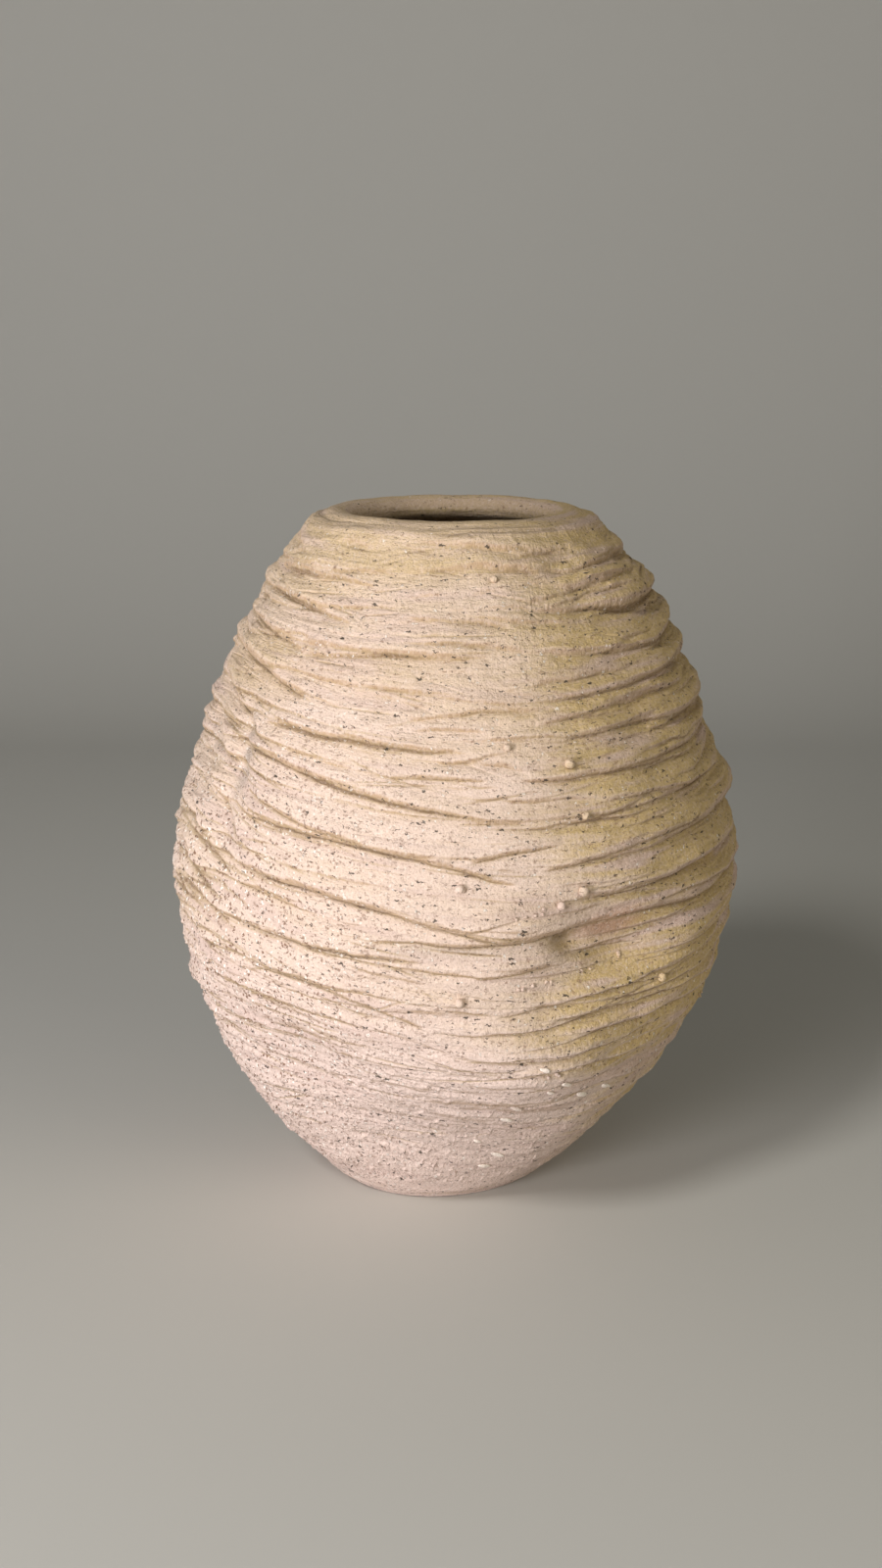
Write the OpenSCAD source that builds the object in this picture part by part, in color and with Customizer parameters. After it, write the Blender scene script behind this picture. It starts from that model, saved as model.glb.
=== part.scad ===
// Hand-built stoneware vase: a slab foot, a stack of clay coils that each lap over the one
// below, and a rolled lip. Millimetres, +Z up, origin at the centre of the foot on the table,
// with the side that carries the deep thumb press toward -Y.

/* [Vase] */
// Height from the table to the top of the lip
vase_h = 320; // [240:5:400]
// Thickness of the wall, measured square to its surface
wall_t = 7.5; // [6:0.5:9]
// How far the belly stands out of line with the foot, toward +X
lean = 6; // [0:0.5:10]

/* [Foot] */
// Radius of the flat face that the vase stands on
foot_r = 50; // [44:1:60]
// Thickness of the base slab
slab_t = 10; // [8:0.5:12]

/* [Body] */
// Radius of the body at its widest
belly_r = 129; // [115:1:145]
// Height of the widest place, as a share of the whole height
belly_at = 0.46; // [0.4:0.01:0.52]
// Radius that the shoulder closes in to, where the lip starts to roll over
neck_r = 62; // [58:1:72]
// How full the body is: 2 is a parabola, more is squarer
fullness = 2.1; // [1.9:0.05:2.4]

/* [Coils] */
// Wall coils between the base slab and the rim coil
coils = 18; // [14:1:20]
// How far the pressed-down outer edge of a coil hangs below its inner edge
lap = 3; // [1:0.5:4]
// How far the face of a coil bulges between its two joints
coil_bulge = 2; // [0.5:0.25:2.5]
// How much higher a coil rides at the two sides of the vase than at its front and back
swag = 12; // [0:1:16]
// How much higher the coils ride on the -X side than on the +X side
tilt = 10; // [0:1:12]

/* [Lip] */
// Height of the rim coil
rim_h = 17; // [14:1:20]
// Radius of the circle that the top of the lip follows
crest_r = 54; // [52:0.5:56]
// Clear radius of the mouth
mouth_r = 46.5; // [44:0.5:48]

/* [Hidden] */
function coil_name(i) = str("wall_coil_", i < 10 ? "0" : "", i);

// Straight facets around a coil, and around the round solids
around = 48;
round_fn = 96;
ball_fn = 24;

belly_z = belly_at * vase_h;
rim_z = vase_h - rim_h;
coil_h = (rim_z - slab_t) / coils;
// The coils sag lowest here: the front of the vase, turned a little toward -X
sag_azimuth = -80;
foot_edge = 3;
// How far the edge of the base slab swells out between its two faces
slab_swell = 1;

// Places where the wall was pushed in, or, with a negative depth, left standing proud:
// azimuth, height, depth, half width around the vase, half height
presses = [
    [-65, 149, 5, 7, 6],      // deep thumb press
    [-58, 140, 8, 32, 22],    // the hollow round it
    [-70, 120, 2, 18, 16],    // and on below it
    [-80, 159, -4, 24, 8],    // roll above the thumb press
    [-32, 118, -3, 22, 26],   // swelling pushed up beside it
    [2, 100, 5, 34, 30],      // flat behind the swelling
    [-108, 144, -3, 24, 14],  // keel between the hollow and the flattened side
    [-72, 84, -7, 36, 20],    // foot of the keel
    [-108, 54, 8, 44, 34],    // side flattened low on the body
    [-122, 92, 5, 26, 22],    // and on up under the keel
    [-46, 234, 2, 20, 16],    // shallow press on the shoulder
    [-30, 268, -3, 16, 22],   // upright ridge beside it
    [5, 232, 3.5, 40, 36],    // side flattened high on the body
    [-162, 220, 8, 28, 50],   // upright pinch on the -X side
    [-144, 205, 5, 10, 34],   // the crease of the pinch
    [-165, 175, -3, 30, 34],  // swelling below the pinch
    [75, 190, 5, 30, 26],     // flat of the hand that held the back
    [140, 120, 4, 26, 24],
];

clay = [0.86, 0.76, 0.68];
clay_low = [0.84, 0.73, 0.68];
clay_lip = [0.78, 0.68, 0.55];

// The round outline of the body, before anything is pressed into it
function outline_r(z) = z < belly_z
    ? foot_r + (belly_r - foot_r) * (1 - pow(1 - z / belly_z, fullness))
    : neck_r + (belly_r - neck_r) * (1 - pow((z - belly_z) / (vase_h - belly_z), fullness));
function outline_slope(z) = outline_r(z + 0.5) - outline_r(z - 0.5);

function lean_x(z) = lean * (1 - cos(180 * min(1, z / belly_z))) / 2;

// Shortest way round from one azimuth to another, in degrees
function turn(a, b) = ((a - b + 540) % 360) - 180;
function bump(x, w) = exp(-pow(x / w, 2));
function press_depth(p, a, z) =
    p[2] * bump(turn(a, p[0]) * PI / 180 * outline_r(p[1]), p[3]) * bump(z - p[1], p[4]);
function pressed_in(a, z, n = len(presses) - 1) =
    press_depth(presses[n], a, z) + (n > 0 ? pressed_in(a, z, n - 1) : 0);

function outer_r(a, z) = outline_r(z) - pressed_in(a, z);
function inner_r(a, z) = outer_r(a, z) - wall_t * sqrt(1 + pow(outline_slope(z), 2));

// A bed joint is level at the slab and at the rim, and sags between them
function sag_share(z) = sin(180 * (z - slab_t) / (rim_z - slab_t));
function joint_z(i, a) = let (z = slab_t + i * coil_h)
    z + sag_share(z) * (swag * pow(sin(a - sag_azimuth), 2) - tilt / 2 * cos(a));
function lap_at(i) = i == 0 ? 0 : lap;

function mix(a, b, t) = a + (b - a) * t;

// One coil cut through at one azimuth, as [radius, height] pairs: up the outside, down the inside
face_steps = [0, 0.18, 0.5, 0.8, 1];
face_swell = [0, 0.85, 1, 0.6, 0];
function coil_section(i, a) = let (
        foot_z = joint_z(i - 1, a),
        head_z = joint_z(i, a),
        foot_out = foot_z - lap_at(i - 1),
        head_out = head_z - lap_at(i)
    ) concat(
        [for (s = [0:len(face_steps) - 1]) let (z = mix(foot_out, head_out, face_steps[s]))
            [outer_r(a, z) + coil_bulge * face_swell[s], z]],
        [for (z = [head_z, (head_z + foot_z) / 2, foot_z]) [inner_r(a, z), z]]
    );

// The rim coil: a lap joint below, a full rolled lip above. The shares say how far below the
// crest each corner of the roll lies, and how far out or in from the crest.
collar_drop = 0.65;
brow_drop = 0.25;
brow_out = 2;
outer_round_drop = 0.07;
outer_round_out = 0.6;
inner_round_drop = 0.08;
inner_round_in = 0.7;
mouth_drop = 0.28;
function rim_section(a) = let (
        foot_z = joint_z(coils, a),
        foot_out = foot_z - lap,
        roll = vase_h - foot_out,
        collar_z = vase_h - roll * collar_drop
    ) [
        [outer_r(a, foot_out), foot_out],
        [outer_r(a, collar_z) + coil_bulge / 2, collar_z],
        [neck_r + brow_out, vase_h - roll * brow_drop],
        [mix(crest_r, neck_r, outer_round_out), vase_h - roll * outer_round_drop],
        [crest_r, vase_h],
        [mix(crest_r, mouth_r, inner_round_in), vase_h - roll * inner_round_drop],
        [mouth_r, vase_h - roll * mouth_drop],
        [inner_r(a, foot_z), foot_z],
    ];

// A closed ring through one section at each azimuth. Where one coil beds on another, both split
// their shared strip along the same diagonal, so that the two faces match all the way round.
module ring(sections) {
    n = len(sections);
    m = len(sections[0]);
    function corner(k, j) = (k % n) * m + (j % m);
    points = [for (k = [0:n - 1]) let (a = 360 * k / n) for (p = sections[k])
        [lean_x(p[1]) + p[0] * cos(a), p[0] * sin(a), p[1]]];
    faces = [for (k = [0:n - 1]) for (j = [0:m - 1]) each j == m - 1
        ? [[corner(k, j), corner(k, j + 1), corner(k + 1, j)],
           [corner(k, j + 1), corner(k + 1, j + 1), corner(k + 1, j)]]
        : [[corner(k, j), corner(k, j + 1), corner(k + 1, j + 1)],
           [corner(k, j), corner(k + 1, j + 1), corner(k + 1, j)]]];
    polyhedron(points, faces);
}

module base_slab() {
    top_r = outline_r(slab_t);
    color(clay_low) rotate_extrude($fn = round_fn) polygon([
        [0, 0],
        [foot_r, 0],
        [outline_r(foot_edge / 2), foot_edge / 2],
        [outline_r(slab_t / 2) + slab_swell, slab_t / 2],
        [top_r, slab_t],
        [0, slab_t],
    ]);
}

module wall_coil(i) {
    color(mix(clay_low, clay, i / coils))
        ring([for (k = [0:around - 1]) coil_section(i, 360 * k / around)]);
}

module rim_coil() {
    color(clay_lip) ring([for (k = [0:around - 1]) rim_section(360 * k / around)]);
}

// Small balls of clay stuck to the coils: azimuth, height, radius
pellets = [
    [-66, 224, 2.2], [-64, 203, 1.8], [-89, 176, 2], [-65, 171, 2.2], [-70, 166, 1.8],
    [-79, 232, 1.6], [-89, 125, 2], [-45, 124, 2.2], [-78, 298, 1.8], [37, 120, 2],
    [82, 200, 1.8], [127, 100, 2], [157, 215, 1.6], [20, 180, 1.8],
];
// How far a ball is sunk into the coil that it sits on
pellet_sink = 0.4;

// The coil whose face lies at an azimuth and height, and how far that face swells out there
function coil_at(a, z, i = 1) = i >= coils || joint_z(i, a) - lap > z ? i : coil_at(a, z, i + 1);
function swell_at(a, z) = let (
        i = coil_at(a, z),
        foot_out = joint_z(i - 1, a) - lap_at(i - 1),
        head_out = joint_z(i, a) - lap_at(i)
    ) coil_bulge * lookup((z - foot_out) / (head_out - foot_out),
        [for (s = [0:len(face_steps) - 1]) [face_steps[s], face_swell[s]]]);

module clay_pellets() {
    color(clay) for (p = pellets) {
        a = p[0];
        z = p[1];
        r = outer_r(a, z) + swell_at(a, z) + p[2] - pellet_sink;
        translate([lean_x(z) + r * cos(a), r * sin(a), z]) sphere(r = p[2], $fn = ball_fn);
    }
}

base_slab();
for (i = [1:coils]) wall_coil(i);
rim_coil();
clay_pellets();
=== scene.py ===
"""Looks of the hand-built stoneware vase: folded coil courses, a rolled lip, and speckled matte clay.

Shapes are worked out in millimetres on a grid that runs round the vase (azimuth, in degrees) and
up it (climb, the height that a place had in the stack before the coils sagged). Azimuth 0 is +X
and -90 is the front.
"""
import math

import bpy
import numpy as np
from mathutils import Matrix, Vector


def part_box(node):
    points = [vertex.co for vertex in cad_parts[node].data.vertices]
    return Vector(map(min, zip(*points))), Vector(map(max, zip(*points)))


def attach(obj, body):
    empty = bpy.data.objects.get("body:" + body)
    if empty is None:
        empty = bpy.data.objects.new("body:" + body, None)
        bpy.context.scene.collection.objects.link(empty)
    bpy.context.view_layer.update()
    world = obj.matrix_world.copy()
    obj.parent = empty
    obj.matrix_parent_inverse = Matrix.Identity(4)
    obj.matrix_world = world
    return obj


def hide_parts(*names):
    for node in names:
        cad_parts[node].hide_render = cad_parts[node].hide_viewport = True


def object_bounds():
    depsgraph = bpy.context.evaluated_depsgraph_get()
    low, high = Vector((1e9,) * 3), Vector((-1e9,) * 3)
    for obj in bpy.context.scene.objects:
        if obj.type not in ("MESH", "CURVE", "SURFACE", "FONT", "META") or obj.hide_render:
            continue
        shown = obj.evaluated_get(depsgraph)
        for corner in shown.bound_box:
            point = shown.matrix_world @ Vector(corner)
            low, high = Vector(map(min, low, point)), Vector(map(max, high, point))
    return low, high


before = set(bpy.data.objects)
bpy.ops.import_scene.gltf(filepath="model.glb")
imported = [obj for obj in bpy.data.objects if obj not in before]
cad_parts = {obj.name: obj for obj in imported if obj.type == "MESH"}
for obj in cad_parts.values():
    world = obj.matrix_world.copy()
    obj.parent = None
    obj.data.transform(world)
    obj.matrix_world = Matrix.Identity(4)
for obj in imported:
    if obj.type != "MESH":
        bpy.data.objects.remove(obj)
CAD_LOW, CAD_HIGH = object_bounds()

# -------- sizes taken from the frame, in mm
MM = 0.001
COILS = sorted(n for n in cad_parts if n.startswith("wall_coil_"))


def cad_box(node):
    """Lowest and highest corner of a CAD node, in mm."""
    low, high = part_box(node)
    return [v / MM for v in low], [v / MM for v in high]


VASE_H = CAD_HIGH[2] / MM
SLAB_T = cad_box("base_slab")[1][2]
LAP = 3.0  # how far a coil's outer edge hangs below its inner edge
RIM_Z = cad_box("rim_coil")[0][2] + LAP
COIL_H = (RIM_Z - SLAB_T) / len(COILS)

# -------- the body's round outline
FOOT_R = 50.0
BELLY_R = 129.5
BELLY_Z = 0.46 * VASE_H
NECK_R = 62.0
CREST_R = 54.0
MOUTH_R = 46.5
FULLNESS = 2.1
LEAN = 6.0
WALL_T = 7.5
SWAG = 12.0
TILT = 10.0
SAG_AZIMUTH = -80.0

# Places pushed in, or, with a negative depth, left proud:
# azimuth, height, depth, half width round the vase, half height
PRESSES = [
    (-67, 148, 4.5, 8, 5),  # deep thumb press
    (-58, 141, 10.5, 29, 19),  # the hollow round it
    (-70, 120, 2, 18, 16),  # and on below it
    (-79, 160, -4.5, 24, 8),  # roll above the thumb press
    (-32, 118, -3, 22, 26),  # swelling pushed up beside it
    (2, 100, 5, 34, 30),  # flat behind the swelling
    (-111, 146, -4, 26, 14),  # keel between the hollow and the flattened side
    (-72, 84, -7, 36, 20),  # foot of the keel
    (-106, 48, 7, 42, 30),  # side flattened low on the body
    (-127, 84, 11, 38, 27),  # and on up under the keel
    (-46, 234, 2, 20, 16),  # shallow press on the shoulder
    (-30, 268, -3, 16, 22),  # upright ridge beside it
    (5, 232, 3.5, 40, 36),  # side flattened high on the body
    (-162, 220, 8, 28, 50),  # upright pinch on the -X side
    (-144, 205, 5, 10, 34),  # the crease of the pinch
    (-165, 175, -3, 30, 34),  # swelling below the pinch
    (75, 190, 5, 30, 26),  # flat of the hand that held the back
    (140, 120, 4, 26, 24),
]

# Where the drag marks climb or drop away from the run of the coils:
# azimuth, height, rise, half width in degrees, half height
DRIFTS = [
    (-165, 185, 14, 25, 35),
    (0, 115, 12, 40, 35),
    (-110, 45, 12, 30, 25),
]

# -------- how finely the surface is cut
COLUMNS = 1200  # round the vase
COIL_ROWS = 44  # up the face of one coil
RIM_ROWS = 27  # up the outer face of the rim coil, below its lip
INNER_ROWS = 8  # down the inside of one coil
LIP_ROWS = 76  # over the lip and down the inside of the rim coil
LIP_FROM = 10  # where the lip starts, in mm above the joint
EDGE_ROWS = 26  # up the edge of the base slab


def wrap(degrees):
    return (np.asarray(degrees, float) + 180.0) % 360.0 - 180.0


def bump(x, width):
    return np.exp(-(x / width) ** 2)


def ease(x):
    x = np.clip(x, 0.0, 1.0)
    return x * x * (3.0 - 2.0 * x)


def mix(a, b, t):
    return a + (b - a) * t


def near(azimuth, at, half_turn):
    """1 at one azimuth, fading on both sides over a half width in degrees."""
    return bump(wrap(azimuth - at), half_turn)


def across_mm(azimuth, at):
    """How far round the belly an azimuth lies from another, in mm."""
    return np.radians(wrap(azimuth - at)) * BELLY_R


NOISE_ROWS = 1024  # height of a noise table, in cells
NOISE_BELOW = 64  # how many of them lie below height 0


def noise(azimuth, height, around, cell, seed):
    """Smooth noise from -1 to 1 that closes round the vase.

    It has `around` cells in a turn, and each is `cell` mm high. The seed picks the table.
    """
    table = np.random.default_rng(seed).uniform(-1.0, 1.0, (around, NOISE_ROWS))
    x = (np.asarray(azimuth, float) % 360.0) / 360.0 * around
    y = np.asarray(height, float) / cell + NOISE_BELOW
    column = np.floor(x).astype(int)
    row = np.floor(y).astype(int)
    u, v = ease(x - column), ease(y - row)
    left, right = column % around, (column + 1) % around
    low, high = row % NOISE_ROWS, (row + 1) % NOISE_ROWS
    return mix(mix(table[left, low], table[right, low], u),
               mix(table[left, high], table[right, high], u), v)


def ripple(azimuth, around, seed):
    """Smooth noise that changes only round the vase."""
    return noise(azimuth, 0 * azimuth, around, 10, seed)


def outline_r(z):
    low = FOOT_R + (BELLY_R - FOOT_R) * (1 - np.clip(1 - z / BELLY_Z, 0, 2) ** FULLNESS)
    share = np.clip((z - BELLY_Z) / (VASE_H - BELLY_Z), 0, 2)
    return np.where(z < BELLY_Z, low, NECK_R + (BELLY_R - NECK_R) * (1 - share ** FULLNESS))


def outline_slope(z):
    return outline_r(z + 0.5) - outline_r(z - 0.5)


def foot_spread(azimuth, z):
    """The foot was set down harder on one side and spread there."""
    return 4.0 * near(azimuth, -122, 46) * (1 - ease(z / 42))


def lean_x(z):
    return LEAN * (1 - np.cos(np.pi * np.clip(z / BELLY_Z, 0, 1))) / 2


def to_points(azimuth, radius, z):
    """Points from azimuths, distances from the leaning axis, and heights."""
    turn = np.radians(azimuth)
    return np.stack([lean_x(z) + radius * np.cos(turn), radius * np.sin(turn), z], -1)


def axis_distance(points):
    """The distances of points from the leaning axis."""
    return np.hypot(points[:, 0] - lean_x(points[:, 2]), points[:, 1])


def pressed_in(azimuth, z):
    total = 0.0
    for at, height, depth, half_width, half_height in PRESSES:
        across = np.radians(wrap(azimuth - at)) * outline_r(np.float64(height))
        total = total + depth * bump(across, half_width) * bump(z - height, half_height)
    return total


def sag(azimuth, climb):
    """How much higher than its climb a place on a coil lies."""
    share = np.sin(np.pi * np.clip((climb - SLAB_T) / (RIM_Z - SLAB_T), 0, 1))
    side = np.sin(np.radians(azimuth - SAG_AZIMUTH)) ** 2
    return share * (SWAG * side - TILT / 2 * np.cos(np.radians(azimuth)))


def drift(azimuth, z):
    total = 0.0
    for at, height, rise, half_turn, half_height in DRIFTS:
        total = total + rise * near(azimuth, at, half_turn) * bump(z - height, half_height)
    return total


SOLVE_STEPS = 6  # repeats that settle a height worked out backwards


def climb_of(azimuth, z):
    """The climb of a place given by its height."""
    climb = np.asarray(z, float) + 0.0
    for _ in range(SOLVE_STEPS):
        climb = z - sag(azimuth, climb)
    return climb


def flow_of(azimuth, z):
    """Height measured along the drag marks: a drag mark keeps to one flow height all its length."""
    return climb_of(azimuth, z) - drift(azimuth, z)


# -------- folds in the clay
# The main folds: azimuth and height of the left end, the middle and the right end, then how far
# the upper layer stands out over the lower one.
MAIN_FOLDS = [
    # shoulder
    ((-168, 296), (-140, 296), (-114, 294), 1.4), ((-160, 287), (-140, 285), (-118, 278), 1.6),
    ((-170, 273), (-150, 272), (-130, 266), 1.7), ((-132, 264), (-112, 267), (-80, 266), 1.5),
    ((-111, 312), (-80, 310), (-34, 303), 1.0), ((-107, 299), (-90, 302), (-60, 298), 0.9),
    ((-75, 286), (-50, 292), (-12, 293), 1.4), ((-66, 285), (-50, 289), (-22, 289), 1.1),
    ((-50, 281), (-40, 282), (-30, 281), 1.0), ((-106, 282), (-90, 281), (-74, 279), 0.9),
    ((-106, 272), (-90, 272), (-72, 269), 1.1), ((-78, 254), (-60, 257), (-45, 257), 1.0),
    ((-72, 239), (-54, 244), (-18, 246), 1.6), ((-106, 239), (-90, 245), (-70, 244), 1.0),
    ((-100, 238), (-90, 239), (-82, 238), 0.8),
    # left side
    ((-172, 262), (-150, 258), (-124, 247), 2.6), ((-174, 248), (-158, 243), (-138, 231), 3.0),
    ((-176, 233), (-162, 228), (-146, 215), 3.0), ((-137, 236), (-112, 233), (-86, 229), 2.0),
    ((-144, 226), (-118, 216), (-84, 203), 3.0), ((-138, 207), (-126, 200), (-108, 193), 2.0),
    ((-138, 197), (-106, 190), (-78, 175), 2.4), ((-146, 178), (-114, 168), (-80, 151), 3.2),
    ((-142, 150), (-120, 147), (-96, 142), 2.0), ((-170, 219), (-156, 208), (-136, 183), 3.0),
    ((-174, 203), (-158, 191), (-140, 168), 3.0), ((-176, 186), (-160, 175), (-142, 156), 2.6),
    ((-174, 168), (-156, 157), (-138, 144), 2.2), ((-175, 148), (-162, 141), (-146, 132), 2.0),
    ((-135, 128), (-112, 124), (-94, 108), 1.6),
    # front and right side
    ((-95, 225), (-84, 228), (-78, 230), 0.9), ((-87, 225), (-80, 224), (-74, 220), 0.8),
    ((-104, 220), (-95, 220), (-84, 218), 1.0), ((-76, 218), (-60, 218), (-38, 220), 1.5),
    ((-90, 201), (-82, 201), (-74, 200), 0.9), ((-63, 200), (-55, 200), (-46, 200), 1.1),
    ((-60, 195), (-50, 196), (-40, 197), 0.9), ((-88, 184), (-78, 189), (-69, 191), 1.3),
    ((-73, 180), (-55, 186), (-30, 190), 1.6), ((-89, 156), (-84, 159), (-78, 162), 1.0),
    ((-42, 231), (-26, 234), (-10, 236), 1.6), ((-48, 159), (-34, 162), (-18, 161), 1.4),
    ((-38, 205), (-28, 206), (-14, 206), 1.4), ((-106, 153), (-84, 150), (-58, 157), 1.9),
    ((-72, 119), (-47, 128), (-17, 134), 2.1), ((-72, 112), (-40, 117), (-20, 116), 1.8),
    ((-87, 135), (-76, 137), (-67, 139), 1.1), ((-83, 116), (-68, 121), (-48, 127), 1.3),
    ((-95, 109), (-72, 110), (-54, 117), 1.4), ((-87, 97), (-68, 96), (-42, 102), 1.6),
    ((-96, 96), (-86, 92), (-74, 93), 1.0),
]


def smooth_rows(grid, times):
    """Softens a grid a little, up and down and around."""
    for _ in range(times):
        padded = np.pad(grid, ((1, 1), (0, 0)), mode="edge")
        grid = (padded[:-2] + 2 * grid + padded[2:]) / 4
        grid = (np.roll(grid, 1, 1) + 2 * grid + np.roll(grid, -1, 1)) / 4
    return grid


FEWEST = 4  # a fold over fewer rows or columns is left out
LOWEST_LANE, HIGHEST_LANE, LANE_STEP = 24.0, 312.0, 4.3
SCRATCHES = 560


class Surface:
    """The outside of the vase, from foot to lip joint, as grids over climb (rows) and azimuth."""

    def __init__(self):
        rows = len(COILS) * COIL_ROWS + RIM_ROWS
        self.azimuth = np.arange(COLUMNS) * 360.0 / COLUMNS - 180.0
        self.climb = SLAB_T + np.arange(rows + 1) / COIL_ROWS * COIL_H
        a, c = np.meshgrid(self.azimuth, self.climb)
        hang = LAP * ease((c - SLAB_T) / COIL_H) * (1 - ease((c - RIM_Z) / 12))
        self.a, self.c = a, c
        self.z = c + sag(a, c) - hang
        self.flow = flow_of(a, self.z)
        self.out = np.zeros_like(a)  # displacement square to the body, outward
        self.down = np.zeros_like(a)  # displacement along the body, downward
        self.recess_shade = np.zeros_like(a)  # painted shade: how deep in a crease or dent a place lies, darkening the colours there

    def stains_and_shade(self):
        """Above 0, the orange-pink stain beside the thumb press; below 0, painted grey shade in the
        pinch's crease and along the valley that runs to the thumb press.
        """
        beside = across_mm(self.a, -57)
        pink = bump(beside, 17) * bump(self.z - 153 - 0.1 * beside, 7)
        pinch_shade = bump(across_mm(self.a, -142), 6) * bump(self.z - 222, 24)
        pinch_shade = pinch_shade * (0.7 + 0.6 * noise(self.a, self.z, 90, 5, 51))
        run = float(flow_of(np.float64(-88), np.float64(147)))
        valley_shade = 0.5 * bump(across_mm(self.a, -90), 32) * bump(self.flow - run, 4.5)
        return pink - pinch_shade - valley_shade

    def thumb_shade(self):
        """The dark in the thumb press, drawn out to its left."""
        beside = across_mm(self.a, -68)
        width = np.where(beside < 0, 13, 6)
        return 1.9 * bump(beside, width) * bump(self.z - 150.5 - 0.1 * beside, 4)

    def lay(self, block, d, lift):
        """Adds one layer's lower edge. d is the distance up from its crease, in mm.

        Above the crease the layer is turned under in a round nose, stands out by its lift and
        thins away upward. Below it the next layer comes out from under the nose.
        """
        nose = 1.9 + 1.0 * lift
        reach = 3.0 + 3.0 * lift
        deep = 0.85
        turned = np.sqrt(1 - (1 - np.clip(d / nose, 0, 1)) ** 2)
        thinning = np.exp(-np.clip(d - nose, 0, None) / reach)
        upper = np.where(d < nose, (1 + deep) * turned - deep, thinning)
        lower = -deep * np.exp(np.clip(d, None, 0) / (2.0 + 1.6 * lift))
        self.out[block] += lift * np.where(d > 0, upper, lower)
        self.down[block] += 0.3 * lift * bump(d - 0.35 * nose, 0.7 * nose)
        # Painted shade: darker along the crease and in a softer band just below it.
        self.recess_shade[block] += np.minimum(1.1 * lift, 1.4) * bump(d - 0.1, 0.4 + 0.22 * lift)
        self.recess_shade[block] += 0.16 * np.minimum(lift, 2.2) * bump(d + 0.9, 1.5 + 0.5 * lift)

    def fold(self, ends, lift, wander=0.0, seed=0):
        """One layer of clay dragged down over another along a line through three places."""
        az = [e[0] for e in ends]
        line_flow = [float(flow_of(np.float64(e[0]), np.float64(e[1]))) for e in ends]
        first, last = az[0], az[-1]
        along = wrap(self.azimuth - first)
        columns = np.nonzero((along > 0) & (along < last - first))[0]
        if len(columns) < FEWEST:
            return
        share = along[columns] / (last - first)
        bend = np.polyfit([0.0, (az[1] - first) / (last - first), 1.0], line_flow, 2)
        azimuth = self.azimuth[columns]
        line = np.polyval(bend, share)
        line = line + wander * ripple(azimuth, 48, seed)
        line = line + 0.4 * wander * ripple(azimuth, 130, seed + 1)
        taper = np.sin(np.pi * share) ** 0.6
        taper = taper * (1 - 0.15 * near(azimuth, -92, 34))
        taper = taper * (1 + 0.45 * near(azimuth, -155, 20))
        rows = np.nonzero(np.abs(self.climb - line.mean()) < 36)[0]
        if len(rows) < FEWEST:
            return
        block = np.ix_(rows, columns)
        self.lay(block, self.flow[block] - line, (lift * taper)[None, :])

    def lap_coils(self):
        """The dragged-down edge of each coil, strong at the sides and faint across the front."""
        azimuth = self.azimuth
        front, back = near(azimuth, -88, 46), near(azimuth, 92, 75)
        right, left = near(azimuth, -5, 42), near(azimuth, -150, 26)
        for joint in range(1, len(COILS) + 1):
            line = SLAB_T + joint * COIL_H
            rows = np.nonzero(np.abs(self.climb - line - 8) < 26)[0]
            block = (rows, slice(None))
            wave = 2.4 * ripple(azimuth, 14, 110 + joint)
            wave = wave + 0.5 * ripple(azimuth, 50, 140 + joint)
            wave = wave + 2.2 * back * ripple(azimuth, 7, 200 + joint)
            patch = ripple(azimuth, 12, 170 + joint)
            gap = back * ease(0.5 + ripple(azimuth, 9, 230 + joint))
            lift = (1.75 + 0.7 * patch + (2.1 + 1.4 * patch) * right) * (1 - 0.6 * left)
            lift = lift[None, :] * (1 - 0.85 * front) * (1 - 0.55 * gap)
            lift = lift * ease((self.z[block] - 20) / 60) * ease((316 - self.z[block]) / 24)
            self.lay(block, self.c[block] - line - wave[None, :], lift)

    def scatter_folds(self, seed):
        """Lanes of shorter folds between the main ones, each along the run of the drag marks."""
        rng = np.random.default_rng(seed)
        for lane in np.arange(LOWEST_LANE, HIGHEST_LANE, LANE_STEP):
            at = rng.uniform(-180, -150)
            stop = at + 360
            while at < stop:
                length = rng.uniform(14, 52)
                middle = wrap(at + length / 2)
                height = lane + rng.normal(0, 1.8)
                front = near(middle, -95, 40)
                low = float(ease((height - 30) / 80))
                crowd = near(middle, -45, 40) * bump(height - 108, 26)
                lift = rng.uniform(0.15, 1.2) * mix(1.0, 0.42, front) * mix(0.4, 1.0, low)
                lift *= (1 + 0.6 * crowd) * (1 - 0.55 * near(middle, -150, 30))
                lift *= 1 + 0.9 * near(middle, 92, 75)
                slope = rng.normal(0, 2.2)
                start = float(flow_of(middle, height))
                ends = []
                for step in (-1, 0, 1):
                    az = middle + step * length / 2
                    goal = start + slope * step + rng.normal(0, 0.7)
                    z = goal
                    for _ in range(SOLVE_STEPS):
                        z = z + goal - float(flow_of(az, z))
                    ends.append((az, z))
                self.fold(ends, lift, wander=0.9, seed=int(rng.integers(1, 1 << 30)))
                at += length + rng.uniform(-6, 20)

    def scratches(self, count, seed):
        """Thin cuts left by a tool or a dragged grain."""
        rng = np.random.default_rng(seed)
        for _ in range(count):
            middle, height = rng.uniform(-180, 180), rng.uniform(40, 310)
            half = rng.uniform(3, 12)
            deep = rng.uniform(0.15, 0.55)
            tilt = rng.normal(0, 2.0)
            along = wrap(self.azimuth - middle)
            columns = np.nonzero(np.abs(along) < half)[0]
            line = float(flow_of(middle, height)) + tilt * along[columns] / half
            rows = np.nonzero(np.abs(self.climb - height) < 40)[0]
            block = np.ix_(rows, columns)
            d = self.flow[block] - line
            taper = np.cos(np.pi / 2 * along[columns] / half) ** 0.7
            cut = taper * bump(d, 0.38)
            self.out[block] -= deep * cut - 0.35 * deep * taper * bump(d - 1.0, 0.6)
            # Painted shade inside the cut.
            self.recess_shade[block] += 2.2 * deep * cut

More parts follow.
